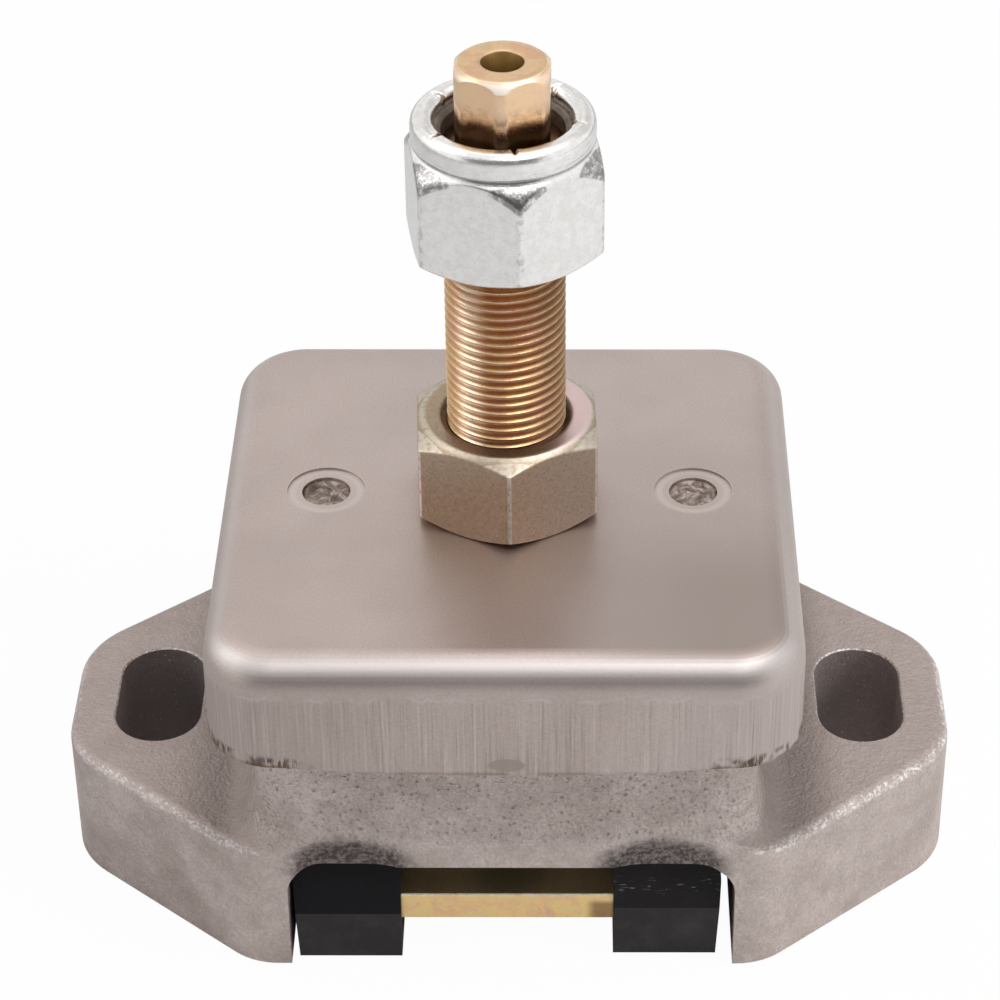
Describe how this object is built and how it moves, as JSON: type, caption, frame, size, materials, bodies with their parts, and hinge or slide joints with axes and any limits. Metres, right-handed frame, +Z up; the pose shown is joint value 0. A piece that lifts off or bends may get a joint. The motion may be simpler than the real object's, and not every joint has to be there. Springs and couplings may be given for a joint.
{
  "type": "engine mount",
  "caption": "Adjustable captive engine mount with a slotted cast base, a square drawn cover on a rubber spring, and a long threaded stud with height nut and lock nut.",
  "frame": {"origin": "on the foundation plane, on the axis of the adjusting stud", "axes": "+Z up along the stud, +X along the line through the two fixing slots, +Y from front to back through the tunnel"},
  "size_m": [0.1478, 0.0936, 0.1449],
  "materials": {
    "cast_aluminium": "blasted sand casting, grainy, edges worn bright",
    "cover_steel": "drawn steel, satin, fine upright draw lines on the skirt",
    "weld_steel": "rough weld metal",
    "inner_steel": "plain",
    "yellow_zinc": "yellow zinc plating with a coppery iridescence",
    "olive_zinc": "pale yellow zinc plating",
    "bright_zinc": "clear zinc plating, finely speckled",
    "plate_zinc": "yellow zinc plating",
    "nylon": "plain",
    "rubber": "moulded, matt"
  },
  "bodies": {
    "root": {"base_casting": "cast_aluminium", "top_cover": "cover_steel", "plug_weld_left": "weld_steel", "plug_weld_right": "weld_steel", "core_plate": "inner_steel", "threaded_stud": "yellow_zinc", "height_nut": "olive_zinc", "lock_nut": "bright_zinc", "lock_nut_insert": "nylon", "pocket_plate": "inner_steel", "main_rubber": "rubber", "rebound_post_left": "inner_steel", "rebound_post_right": "inner_steel", "rebound_plate": "plate_zinc", "rebound_rubber_left": "rubber", "rebound_rubber_right": "rubber", "post_screw_left": "inner_steel", "post_screw_right": "inner_steel", "pocket_screw_front": "inner_steel", "pocket_screw_back": "inner_steel"}
  },
  "joints": []
}
